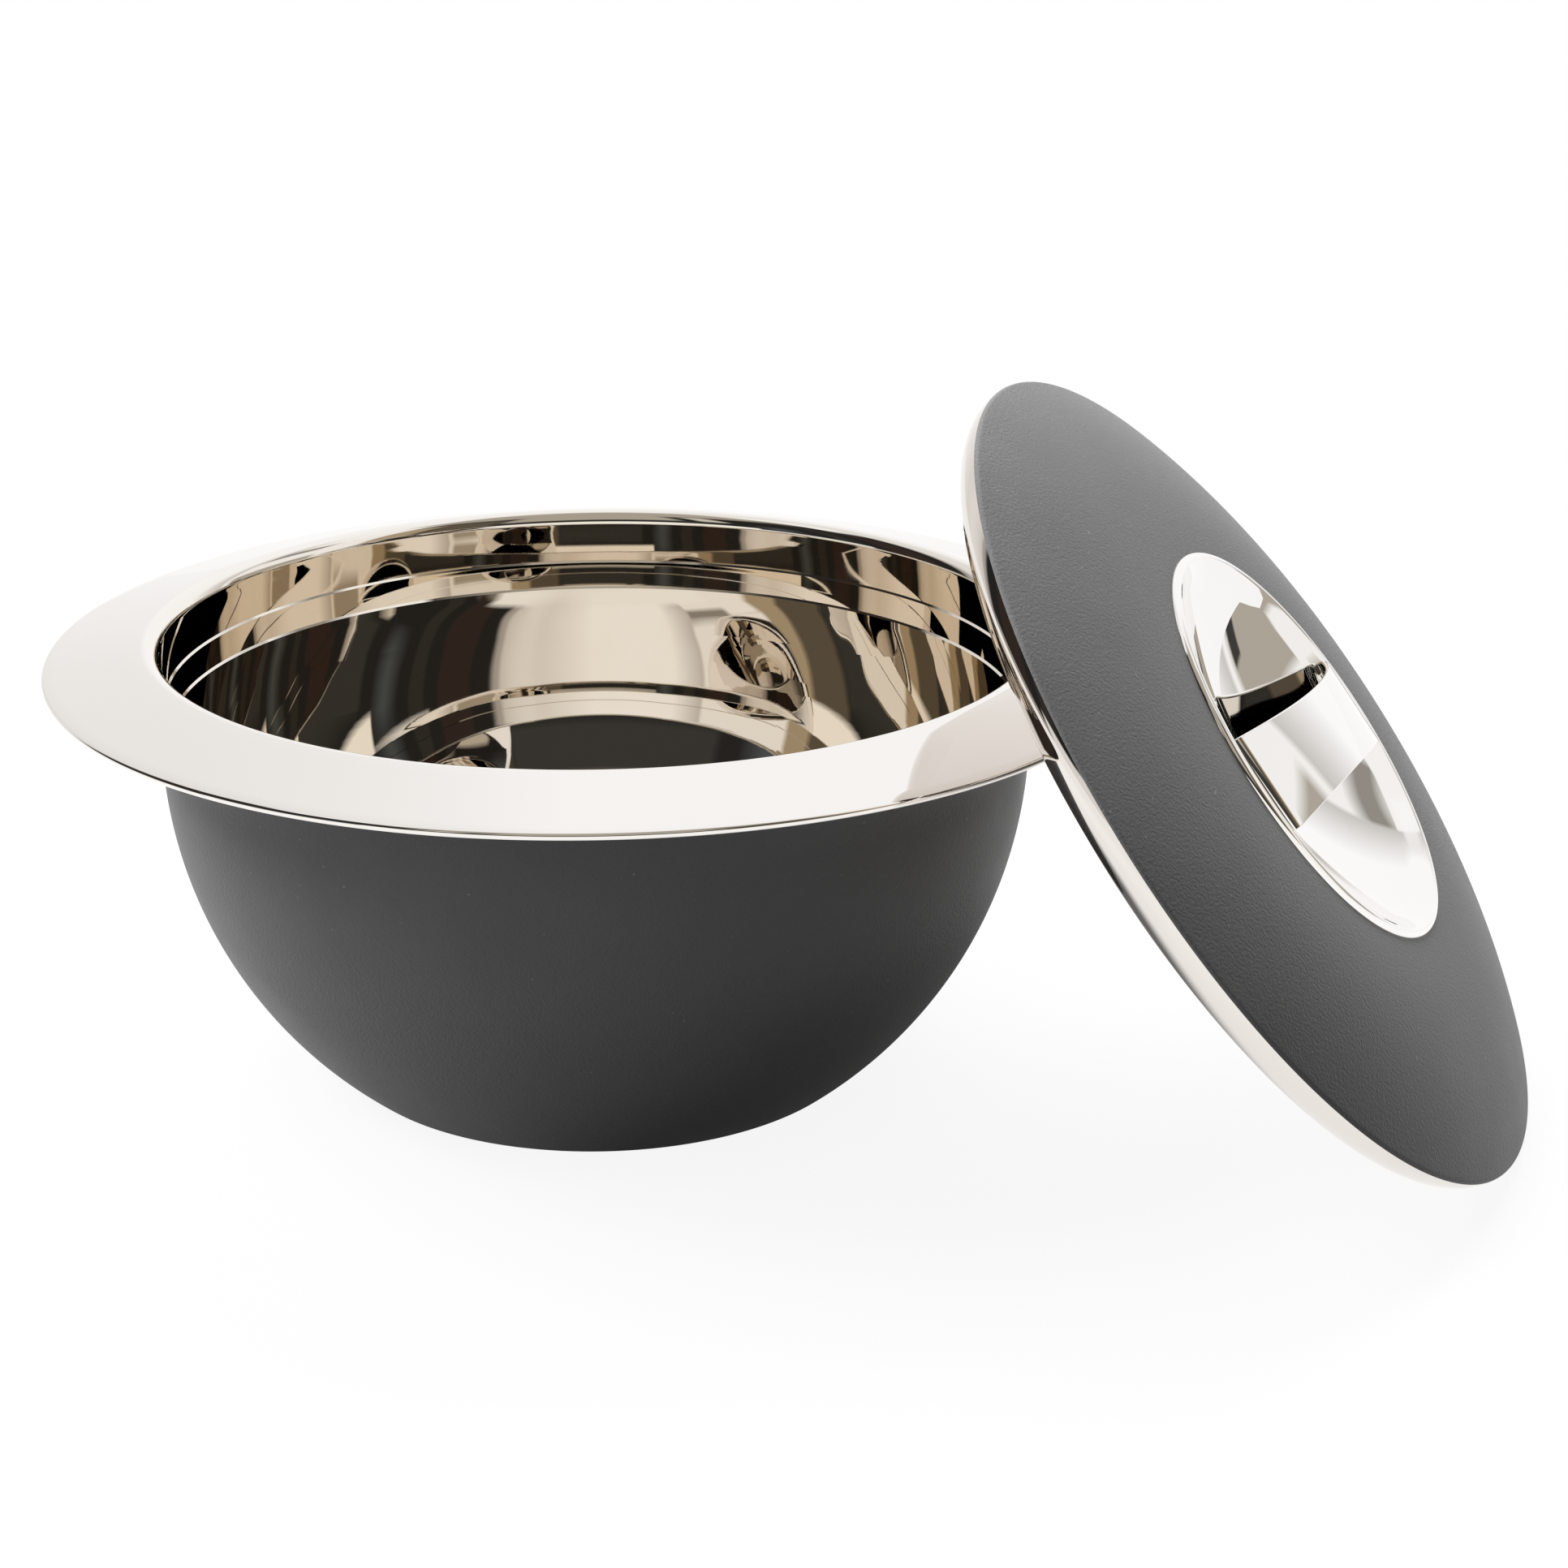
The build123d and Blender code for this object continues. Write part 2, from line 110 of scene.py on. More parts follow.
def joined(parts):
    """One profile from several, with points that repeat left out."""
    points = np.vstack(parts)
    gap = np.linalg.norm(np.diff(points, axis=0), axis=1)
    return points[np.concatenate([[True], gap > same_point])]


print("quarter circle", np.round(arc((0, 0), 1.0, 0.0, np.pi / 2, steps=3), 2).tolist())

# %% [markdown]
# ## From arrays to a mesh
# Faces could be added one at a time with bmesh. Handing Blender whole tables with
# foreach_set gives the same mesh in a fraction of the time. Shading is smooth, except
# across edges that turn by more than the sharp angle.

# %% Mesh from arrays
sharp_angle = np.radians(24)


def filled_mesh(name, points, quads, fans):
    """Mesh object from tables of points, of four-sided faces and of triangles."""
    corners = np.concatenate([quads.ravel(), fans.ravel()]).astype(np.int32)
    fan_starts = 4 * len(quads) + 3 * np.arange(len(fans))
    starts = np.concatenate([4 * np.arange(len(quads)), fan_starts]).astype(np.int32)
    mesh = bpy.data.meshes.new(name)
    mesh.vertices.add(len(points))
    mesh.vertices.foreach_set("co", points.astype(np.float32).ravel())
    mesh.loops.add(len(corners))
    mesh.loops.foreach_set("vertex_index", corners)
    mesh.polygons.add(len(starts))
    mesh.polygons.foreach_set("loop_start", starts)
    mesh.update(calc_edges=True)
    mesh.validate()
    mesh.shade_smooth()
    mesh.set_sharp_from_angle(angle=sharp_angle)
    piece = bpy.data.objects.new(name, mesh)
    bpy.context.scene.collection.objects.link(piece)
    print(name, len(points), "points", len(starts), "faces")
    return piece


print("edges stay sharp over", round(float(np.degrees(sharp_angle))), "degrees")

# %% [markdown]
# ## Turning a profile
# The Spin tool could turn a profile too, but it leaves a seam to merge. Here each
# profile point becomes a ring of vertices, or one vertex where it lies on the axis,
# and the last face of a ring closes on its first vertex. Profiles run so that the
# metal is on their right, which makes the faces point outwards.

# %% Turned mesh
MM = 0.001
on_axis = 1e-6
around_axis = 360


def turned_mesh(name, profile, place=None, closed=False):
    """Surface (r cos a, r sin a, h) over the profile's (r, h) and the angle a.

    The place is a matrix and a middle: each point is turned by one, then moved by the
    other. A closed profile runs from its last point back to its first.
    """
    angles = np.linspace(0.0, 2 * np.pi, around_axis, endpoint=False)
    pole = profile[:, 0] < on_axis
    sizes = np.where(pole, 1, around_axis)
    first = np.cumsum(sizes) - sizes
    ring = np.repeat(np.arange(len(profile)), sizes)
    angle = angles[np.arange(len(ring)) - first[ring]]
    radius = np.where(pole, 0.0, profile[:, 0])[ring]
    flat = [radius * np.cos(angle), radius * np.sin(angle)]
    points = np.stack([*flat, profile[ring, 1]], axis=1) * MM
    if place is not None:
        points = points @ place[0].T + place[1]

    def corner(row, step):
        """Index of a ring's vertex: its first plus the step, or the pole's own vertex."""
        return first[row][:, None] + np.where(pole[row][:, None], 0, step)

    low = np.arange(len(profile) if closed else len(profile) - 1)
    high = (low + 1) % len(profile)
    this = np.arange(around_axis)
    after = (this + 1) % around_axis
    faces = np.stack(
        [corner(low, this), corner(high, this), corner(high, after), corner(low, after)],
        axis=2,
    )
    quads = faces[~pole[low] & ~pole[high]].reshape(-1, 4)
    low_fan = faces[pole[low]][..., [0, 1, 2]].reshape(-1, 3)
    high_fan = faces[pole[high]][..., [0, 1, 3]].reshape(-1, 3)
    return filled_mesh(name, points, quads, np.vstack([low_fan, high_fan]))


print("every turned piece has", around_axis, "steps around its axis")

# %% [markdown]
# ## Sizes of the bowl
# These are the bowl's real sizes in millimetres, the same as the CAD model's. The
# belly, the rounded corner inside, the flare under the flange, the crest and the lip
# are all arcs. Where two of them meet is worked out from their middles and radii, so
# that no corner shows between them.

# %% Bowl sizes
belly_radius, belly_inset, belly_height = 122.0, 2.45, 95.35
wall, sheet = 3.2, 0.7
ring_stand, recess_radius, recess_depth = 0.2, 62.0, 1.2
inside_floor, corner_radius = 6.6, 61.4
flare_radius, shell_top = 42.0, 121.5
neck_start, shoulder = 101.3, (117.85, 109.9)
band_low, band_high = (116.726, 101.9), (117.374, 109.3)
crest, crest_radius = (122.9, 121.0), 4.0
rim_radius, lip_radius, lip_height = 150.0, 1.0, 117.9

belly = (-belly_inset, belly_height)
liner_radius = belly_radius - wall
corner_height = inside_floor + corner_radius
corner_drop = belly_height - corner_height
corner_reach = np.sqrt((liner_radius - corner_radius) ** 2 - corner_drop ** 2)
corner = (corner_reach - belly_inset, corner_height)
corner_angle = np.arctan2(-corner_drop, corner_reach)
flare = (belly_radius - belly_inset + flare_radius, belly_height)
lip = (rim_radius - lip_radius, lip_height)
lip_run = np.hypot(lip[0] - crest[0], lip[1] - crest[1])
middles_fall = np.arctan2(crest[1] - lip[1], lip[0] - crest[0])
flange_fall = middles_fall + np.arcsin((crest_radius - lip_radius) / lip_run)
flange_up = np.pi / 2 - flange_fall
print("flange falls", round(float(np.degrees(flange_fall)), 2), "degrees")

# %% [markdown]
# ## The polished inner bowl
# One pressed sheet makes the floor, the belly, the stepped neck, the rounded crest
# and the sloping flange, and its edge is rolled to a two millimetre lip. A Solidify
# modifier could give the sheet its thickness. Here the hidden face is drawn as a
# second profile one sheet away, so that the two meet in the round lip.

# %% Inner bowl profile
def liner_face(outward):
    """Floor, corner arc, belly arc and neck up to the crest, moved outward by a distance."""
    floor = inside_floor - outward
    belly_now = liner_radius + outward
    top = np.arcsin((neck_start - belly_height) / belly_now)
    side = np.array([outward, 0.0])
    crest_foot = (crest[0] - crest_radius + outward, crest[1])
    return joined([
        run((0, floor), (corner[0], floor), steps=6),
        arc(corner, corner_radius + outward, -np.pi / 2, corner_angle, steps=26),
        arc(belly, belly_now, corner_angle, top, steps=30),
        run(polar(belly, belly_now, top), band_low + side, steps=1),
        run(band_low + side, band_high + side, steps=3),
        run(band_high + side, shoulder + side, steps=1),
        run(shoulder + side, crest_foot, steps=4),
    ])


def inner_bowl_profile():
    """Seen face, crest arc, sloping flange, rolled lip, then the hidden face to the axis."""
    under = flange_up + np.arccos((lip_radius - sheet) / lip_radius)
    crest_end = polar(crest, crest_radius, flange_up)
    inner_crest_end = polar(crest, crest_radius - sheet, flange_up)
    return joined([
        liner_face(0.0),
        arc(crest, crest_radius, np.pi, flange_up, steps=18),
        run(crest_end, polar(lip, lip_radius, flange_up), steps=8),
        arc(lip, lip_radius, flange_up, under - 2 * np.pi, steps=14),
        run(polar(lip, lip_radius, under), inner_crest_end, steps=3),
        arc(crest, crest_radius - sheet, flange_up, np.pi, steps=8),
        liner_face(sheet)[::-1],
    ])


print("inner bowl profile of", len(inner_bowl_profile()), "points")

# %% Inner bowl
inner_bowl = turned_mesh("inner_bowl_polished", inner_bowl_profile())
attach(inner_bowl, "bowl")
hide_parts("inner_bowl")

# %% [markdown]
# ## The coated outer shell
# The outer wall is nearly a ball with a flat base, and above its widest line it
# flares out to the flange. The base has a shallow recess for the pad. A cut sphere
# would come close, but a turned profile holds the flare and the recess as well.

# %% Outer shell
def shell_profile():
    """Inside face from the base plate up, over the top edge, then the outside face down."""
    inner = belly_radius - sheet
    base_top = ring_stand + recess_depth
    plate = base_top + sheet
    ring_top = ring_stand + sheet
    inner_recess = recess_radius + sheet
    out_low = np.arcsin((ring_stand - belly_height) / belly_radius)
    in_low = np.arcsin((ring_top - belly_height) / inner)
    out_top = np.pi - np.arcsin((shell_top - belly_height) / flare_radius)
    in_top = np.pi - np.arcsin((shell_top - belly_height) / (flare_radius + sheet))
    return joined([
        run((0, plate), (inner_recess, plate), steps=3),
        run((inner_recess, plate), (inner_recess, ring_top), steps=1),
        run((inner_recess, ring_top), polar(belly, inner, in_low), steps=2),
        arc(belly, inner, in_low, 0.0, steps=24),
        arc(flare, flare_radius + sheet, np.pi, in_top, steps=8),
        arc(flare, flare_radius, out_top, np.pi, steps=16),
        arc(belly, belly_radius, 0.0, out_low, steps=64),
        run(polar(belly, belly_radius, out_low), (recess_radius, ring_stand), steps=2),
        run((recess_radius, ring_stand), (recess_radius, base_top), steps=1),
        run((recess_radius, base_top), (0, base_top), steps=3),
    ])


outer_shell = turned_mesh("outer_shell_coated", shell_profile())
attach(outer_shell, "bowl")
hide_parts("outer_shell")

# %% [markdown]
# ## Where the lid leans
# The lid stands on its rounded band, and its under face leans on the rim's lip. It
# could be dropped there with physics, but two lengths settle it. Its height follows
# from its tilt and the band's ellipse. The under face is part of a very large ball,
# and the lid lies where that ball just clears the lip.

# %% Lid place
lid_radius = 122.0
band_width, band_drop, belly_drop, under_sheet, turn_in = 10.35, 9.6, 5.0, 0.7, 2.5
lid_azimuth, lid_tilt, lid_side_step = np.radians(-19.93), np.radians(37.95), 7.4
stand_clearance, lean_clearance = 0.05, 0.3

band_radius = lid_radius - band_width
under_radius = (band_radius ** 2 + belly_drop ** 2) / (2 * belly_drop)
under_middle = under_radius - band_drop - belly_drop
band_reach = np.hypot(band_width * np.cos(lid_tilt), band_drop * np.sin(lid_tilt))
lid_height = band_radius * np.cos(lid_tilt) + band_reach + stand_clearance
ball_height = lid_height + under_middle * np.sin(lid_tilt)
ball_gap = under_radius + lip_radius + lean_clearance
ball_reach = lip[0] + np.sqrt(ball_gap ** 2 - (ball_height - lip[1]) ** 2)
ball_distance = np.sqrt(ball_reach ** 2 - lid_side_step ** 2)
lid_distance = ball_distance - under_middle * np.cos(lid_tilt)

skyward = np.array([0.0, 0.0, 1.0])
toward = np.array([np.cos(lid_azimuth), np.sin(lid_azimuth), 0.0])
sideways = np.array([-np.sin(lid_azimuth), np.cos(lid_azimuth), 0.0])
lid_axis = toward * np.cos(lid_tilt) + skyward * np.sin(lid_tilt)
lid_up = np.cross(lid_axis, sideways)
lid_middle = toward * lid_distance + sideways * lid_side_step + skyward * lid_height
lid_place = (np.stack([sideways, lid_up, lid_axis], axis=1), lid_middle * MM)
print("lid middle", np.round(lid_middle, 2), "axis", np.round(lid_axis, 4))

# %% [markdown]
# ## The coated lid
# The dome is one wide arc that turns level before the handle's seat, with a small
# rounded edge where it meets the polished pan. A Boolean could cut the hole for the
# handle, but a closed profile that never comes to the axis leaves it open by itself.

# %% Lid top shell
dome_radius, dome_edge, dome_sheet = 156.9, 1.3, 0.8
seat_radius, hole_radius = 58.9, 56.19
dome_middle_radius = lid_radius - dome_edge
dome_run = dome_middle_radius - seat_radius
dome = (seat_radius, -np.sqrt((dome_radius - dome_edge) ** 2 - dome_run ** 2))
dome_top = dome[1] + dome_radius
edge_angle = np.arctan2(-dome[1], dome_run)


def lid_top_profile():
    """Seat, dome arc and rounded edge outward, then one sheet lower back to the hole."""
    edge = (dome_middle_radius, 0.0)
    under = dome_top - dome_sheet
    return joined([
        run((hole_radius, dome_top), (seat_radius, dome_top), steps=2),
        arc(dome, dome_radius, np.pi / 2, edge_angle, steps=60),
        arc(edge, dome_edge, edge_angle, 0.0, steps=12),
        run((lid_radius, 0), (lid_radius - dome_sheet, 0), steps=1),
        arc(edge, dome_edge - dome_sheet, 0.0, edge_angle, steps=6),
        arc(dome, dome_radius - dome_sheet, edge_angle, np.pi / 2, steps=20),
        run((seat_radius, under), (hole_radius, under), steps=1),
    ])


lid_top = turned_mesh("lid_top_coated", lid_top_profile(), lid_place, closed=True)
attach(lid_top, "lid")
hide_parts("lid_top_shell")

# %% [markdown]
# ## The polished pan under the lid
# The lid's lower half is a pressed pan. A quarter of an ellipse makes its bright
# band, and a shallow ball face closes it. An ellipse rather than a circle, because
# the band is a little wider than it is deep.

# %% Lid pan
def band_arc(width, drop, start, end, steps):
    """Ellipse points (band radius + width cos t, drop sin t) for t from start to end."""
    t = np.linspace(start, end, steps + 1)
    return np.stack([band_radius + width * np.cos(t), drop * np.sin(t)], axis=1)


def lid_pan_profile():
    """Inside face outward, turned-in rim, rounded band down, then the shallow ball face."""
    inner_width, inner_drop = band_width - under_sheet, band_drop - under_sheet
    start = np.arcsin(under_sheet / inner_drop)
    middle = (0.0, under_middle)
    inner_radius = under_radius - under_sheet
    inner_end = np.arctan2(-np.sqrt(inner_radius ** 2 - band_radius ** 2), band_radius)
    outer_end = np.arctan2(-band_drop - under_middle, band_radius)
    rim_inside = lid_radius - turn_in
    return joined([
        arc(middle, inner_radius, -np.pi / 2, inner_end, steps=12),
        band_arc(inner_width, inner_drop, -np.pi / 2, -start, steps=12),
        run((rim_inside, -under_sheet), (rim_inside, 0), steps=1),
        run((rim_inside, 0), (lid_radius, 0), steps=2),
        band_arc(band_width, band_drop, 0.0, -np.pi / 2, steps=30),
        arc(middle, under_radius, outer_end, -np.pi / 2, steps=24),
    ])


lid_pan = turned_mesh("lid_pan_polished", lid_pan_profile(), lid_place)
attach(lid_pan, "lid")
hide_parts("lid_under_shell")

# %% [markdown]
# ## The handle dish
# The dish is part of a ball, with a short straight shoulder and a curled edge that
# stands on the dome. Its seen face and its under face are the same profile, one sheet
# apart. Moving each arc by its radius keeps the sheet equally thick everywhere, which
# moving the points straight down wouldn't.

# %% Handle dish sizes
dish_radius, dish_depth, dish_sheet = 98.4, 17.1, 0.8
crease_radius, curl_radius, curl_rise, curl_crest_radius = 51.5, 1.713, 1.5, 57.2
dish_middle = dome_top - dish_depth + dish_radius
crease_height = dish_middle - np.sqrt(dish_radius ** 2 - crease_radius ** 2)
crease = np.array([crease_radius, crease_height])
curl = np.array([curl_crest_radius, dome_top + curl_rise - curl_radius])
crease_to_curl = curl - crease
curl_lean = np.arcsin(curl_radius / np.hypot(*crease_to_curl))
shoulder_slope = np.arctan2(crease_to_curl[1], crease_to_curl[0]) + curl_lean
print("dish shoulder rises", round(float(np.degrees(shoulder_slope)), 1), "degrees")


# %% Handle dish
def dish_face(below):
    """Ball arc, straight shoulder and curl arc, moved below the seen face by a distance.

    The shoulder meets the ball where a line along its slope, moved by the distance,
    crosses a circle of the ball's radius plus the distance.
    """
    normal = np.array([np.sin(shoulder_slope), -np.cos(shoulder_slope)])
    along = np.array([np.cos(shoulder_slope), np.sin(shoulder_slope)])
    middle = np.array([0.0, dish_middle])
    start = crease + below * normal - middle
    slant = start @ along
    slide = -slant - np.sqrt(slant ** 2 + (dish_radius + below) ** 2 - start @ start)
    meet = start + slide * along
    meet_angle = np.arctan2(meet[1], meet[0])
    turn = np.pi / 2 + shoulder_slope
    foot = np.arcsin((dome_top - curl[1]) / (curl_radius - below))
    return joined([
        arc(middle, dish_radius + below, -np.pi / 2, meet_angle, steps=50),
        run(meet + middle, polar(curl, curl_radius - below, turn), steps=4),
        arc(curl, curl_radius - below, turn, foot, steps=14),
    ])


dish_profile = joined([dish_face(0.0), dish_face(dish_sheet)[::-1]])
handle_dish = turned_mesh("handle_dish_polished", dish_profile, lid_place)
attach(handle_dish, "lid")
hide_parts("handle_dish")

# %% [markdown]
# ## The strap handle
# A flat band is bent down at both ends and arched between them, and its edges draw in
# towards the middle. A bevelled curve could make it, but would grow thicker where it
# grows wider. So a rounded rectangle is carried along the band's outer line in steps,
# always equally thick and as wide as the band is there.

# %% Strap sizes
strap_half, strap_bend, strap_sheet = 52.0, 3.0, 1.4
strap_bend_rise, strap_arch_rise = 0.4, 10.9
strap_end, strap_waist, strap_turn, strap_edge = 13.7, 11.3, np.radians(-7.0), 0.4
bend_steps, arch_steps, edge_steps = 10, 90, 5

bend = np.array([strap_half - strap_bend, dome_top - strap_bend_rise])
arch_top = dome_top + strap_arch_rise
arch_rise = arch_top - bend[1]
arch_square = bend[0] ** 2 + arch_rise ** 2 - strap_bend ** 2
arch_radius = arch_square / (2 * (arch_rise - strap_bend))
arch_middle = np.array([0.0, arch_top - arch_radius])
arch_lean = np.arctan2(bend[1] - arch_middle[1], bend[0])
edge_draw = strap_end - strap_waist
edge_sweep = (strap_half ** 2 + edge_draw ** 2) / (2 * edge_draw)
print("strap arched to a radius of", round(float(arch_radius), 1), "mm")


# %% Strap path and section
def strap_path():
    """Outer line and outward direction over the angle a that the band faces.

    A point is its arc's middle plus radius times (cos a, sin a), through the bend at
    one foot, the arch and the bend at the other. The direction is (cos a, sin a).
    """
    near = np.linspace(np.pi, np.pi - arch_lean, bend_steps + 1)
    over = np.linspace(np.pi - arch_lean, arch_lean, arch_steps + 1)[1:]
    far = np.linspace(arch_lean, 0.0, bend_steps + 1)[1:]
    line = np.vstack([
        polar((-bend[0], bend[1]), strap_bend, near),
        polar(arch_middle, arch_radius, over),
        polar(bend, strap_bend, far),
    ])
    return line, polar((0.0, 0.0), 1.0, np.concatenate([near, over, far]))


def strap_section():
    """Rounded rectangle of four corner arcs, as rows of (side, width step, depth).

    Side is 1 or -1, the edge that a point belongs to. The width step is measured from
    that edge, and the depth from the outer line.
    """
    shallow, deep = -strap_edge, strap_edge - strap_sheet
    corners = []
    for quarter, (side, level) in enumerate(((1, shallow), (-1, shallow), (-1, deep), (1, deep))):
        t = np.linspace(0, 0.5 * np.pi, edge_steps + 1) + quarter * 0.5 * np.pi
        step = strap_edge * np.cos(t) - side * strap_edge
        depth = level + strap_edge * np.sin(t)
        corners.append(np.stack([np.full(len(t), side), step, depth], axis=1))
    return np.vstack(corners)


def half_width(reach):
    """Half the band's width at a distance from its middle: waist plus a long arc's rise."""
    return strap_waist + edge_sweep - np.sqrt(edge_sweep ** 2 - reach ** 2)


print("strap section of", len(strap_section()), "points")

# %% [markdown]
# ### Its feet on the dish
# The band's two ends are short legs that stand on the dish. Each leg is made of a few
# more rings, spaced between the end of the band and the dish's own surface, so that
# the feet follow its curve and leave no gap.

# %% Strap rings
leg_shares = np.array([1.0, 0.66, 0.33])


def dish_height(radius):
    """Height of the dish's seen face: ball inside the crease, straight shoulder outside."""
    ball = dish_middle - np.sqrt(dish_radius ** 2 - np.minimum(radius, crease_radius) ** 2)
    return ball + np.maximum(radius - crease_radius, 0.0) * np.tan(shoulder_slope)


def strap_leg(ring):
    """Rings from the foot up: ring times (1 - share) plus its foot on the dish times share."""
    foot = ring.copy()
    foot[:, 2] = dish_height(np.hypot(ring[:, 0], ring[:, 1]))
    shares = leg_shares[:, None, None]
    return ring * (1 - shares) + foot * shares


def strap_rings():
    """Section points set across the path: line plus depth outward, side times half width."""
    line, outward = strap_path()
    side, step, depth = strap_section().T
    u = line[:, :1] + outward[:, :1] * depth
    h = line[:, 1:] + outward[:, 1:] * depth
    v = side * half_width(u) + step
    band = np.stack([u, v, h], axis=2)
    return np.concatenate([strap_leg(band[0]), band, strap_leg(band[-1])[::-1]])


rings = strap_rings()
count, across = rings.shape[:2]
print("strap of", count, "rings with", across, "points each")


# %% Strap
def end_cap(ring_start):
    """Triangles from the first section point to every other edge of an end ring."""
    edge = ring_start + np.arange(1, across - 1)
    return np.stack([np.full(across - 2, ring_start), edge, edge + 1], axis=1)


flat = rings.reshape(-1, 3)
turned = np.stack([
    flat[:, 0] * np.cos(strap_turn) - flat[:, 1] * np.sin(strap_turn),
    flat[:, 0] * np.sin(strap_turn) + flat[:, 1] * np.cos(strap_turn),
    flat[:, 2],
], axis=1) * MM
strap_points = turned @ lid_place[0].T + lid_place[1]
ring_starts = across * np.arange(count - 1)[:, None]
base = ring_starts + np.arange(across)
beside = ring_starts + (np.arange(across) + 1) % across
strap_quads = np.stack([base, beside, beside + across, base + across], axis=2).reshape(-1, 4)
first_cap, last_cap = end_cap(0)[:, [0, 2, 1]], end_cap((count - 1) * across)
caps = np.vstack([first_cap, last_cap])
handle_strap = filled_mesh("handle_strap_polished", strap_points, strap_quads, caps)
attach(handle_strap, "lid")
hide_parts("handle_strap")

# %% [markdown]
# ## Finishes
# A finish is a tree of nodes that ends in a Principled shader. The helpers below start
# a material or a group, add a node and join sockets, so that each finish reads as a
# short list of nodes and a short list of wires.

# %% Tree helpers
def new_material(name):
    """Material with its node tree and its Principled shader."""
    material = bpy.data.materials.new(name)
    material.use_nodes = True
    tree = material.node_tree
    shader = next(n for n in tree.nodes if n.type == "BSDF_PRINCIPLED")
    return material, tree, shader


def new_group(name, entries, exits):
    """Node group with number inputs and named outputs, and the nodes at its two ends."""
    group = bpy.data.node_groups.new(name, "ShaderNodeTree")
    for label in entries:
        group.interface.new_socket(label, in_out="INPUT", socket_type="NodeSocketFloat")
    for label, kind in exits.items():
        group.interface.new_socket(label, in_out="OUTPUT", socket_type=kind)
    return group, group.nodes.new("NodeGroupInput"), group.nodes.new("NodeGroupOutput")


def add(tree, kind, inputs=None, **settings):
    """Node of a kind, with its settings and the values of its unlinked inputs."""
    node = tree.nodes.new(kind)
    for key, value in settings.items():
        setattr(node, key, value)
    for key, value in (inputs or {}).items():
        node.inputs[key].default_value = value
    return node


def join(tree, *wires):
    """Links between sockets, each wire being (node, its output, node, its input)."""
    for source, output, target, entry in wires:
        tree.links.new(source.outputs[output], target.inputs[entry])


print("tree helpers ready")


# %% Colour and dressing helpers
def colours(tree, first=None, second=None):
    """Mix node: first colour times (1 - factor) plus second colour times factor."""
    given = {"A": first, "B": second}
    chosen = {key: (*tone, 1) for key, tone in given.items() if tone is not None}
    return add(tree, "ShaderNodeMix", chosen, data_type="RGBA")


def dress(piece, material):
    """Give a piece one material in all its slots."""
    slots = piece.data.materials
    if len(slots) == 0:
        slots.append(material)
    for index in range(len(slots)):
        slots[index] = material
    print(piece.name, "in", material.name)


print("dressing helpers ready")

# %% [markdown]
# ## Handling marks
# Steel that has been handled carries a faint cloudy film, which changes its gloss and
# its tint a little. It could be painted as a picture, but noise needs no picture and
# has no seam. Several metals use it, so it is a group. It puts out the roughness and
# the cloud's own mask.

# %% Handling marks group
marks, marks_in, marks_out = new_group(
    "handling_marks",
    ("Clean", "Film", "Scale"),
    {"Roughness": "NodeSocketFloat", "Cloud": "NodeSocketFloat"},
)
where = add(marks, "ShaderNodeTexCoord")
cloud = add(marks, "ShaderNodeTexNoise", {"Detail": 4.0, "Roughness": 0.6})
fade = add(marks, "ShaderNodeMapRange", {"From Min": 0.35, "From Max": 0.75})
film = add(marks, "ShaderNodeMath", operation="MULTIPLY_ADD")
join(
    marks,
    (where, "Object", cloud, "Vector"),
    (marks_in, "Scale", cloud, "Scale"),
    (cloud, "Fac", fade, "Value"),
    (fade, "Result", film, 0),
    (marks_in, "Film", film, 1),
    (marks_in, "Clean", film, 2),
    (film, 0, marks_out, "Roughness"),
    (fade, "Result", marks_out, "Cloud"),
)
print("group", marks.name, "of", len(marks.nodes), "nodes")

# %% [markdown]
# ## Ripples of the press
# A pressed sheet isn't a perfect mirror. It has shallow waves a few centimetres long,
# which bend the straight edges of what it mirrors. They are far too shallow for the
# mesh, so they are a bump. They are strong on the left and the right wall of the bowl,
# weak in a strip down the middle of its back and front, and weakest from the neck
# outwards, where the lid's pieces lie too.

# %% Press ripples group
strip_half, sides_from, strip_share = 0.02, 0.055, 0.12
wall_reach, neck_reach, outer_share = 0.108, 0.114, 0.08
level_only = (1.0, 1.0, 0.0)

ripples, ripples_in, ripples_out = new_group(
    "press_ripples", ("Height",), {"Normal": "NodeSocketVector"},
)
where = add(ripples, "ShaderNodeTexCoord")
waves = add(ripples, "ShaderNodeTexNoise", {"Scale": 30.0, "Detail": 0.0})
apart = add(ripples, "ShaderNodeSeparateXYZ")
aside = add(ripples, "ShaderNodeMath", operation="ABSOLUTE")
levelled = add(ripples, "ShaderNodeVectorMath", {1: level_only}, operation="MULTIPLY")
reach = add(ripples, "ShaderNodeVectorMath", operation="LENGTH")
at_sides = add(ripples, "ShaderNodeMapRange", {
    "From Min": strip_half, "From Max": sides_from, "To Min": strip_share, "To Max": 1.0,
})
inside = add(ripples, "ShaderNodeMapRange", {
    "From Min": wall_reach, "From Max": neck_reach, "To Min": 1.0, "To Max": outer_share,
})
patch = add(ripples, "ShaderNodeMath", operation="MULTIPLY")
swelled = add(ripples, "ShaderNodeMath", operation="MULTIPLY")
bent = add(ripples, "ShaderNodeBump", {"Strength": 1.0})
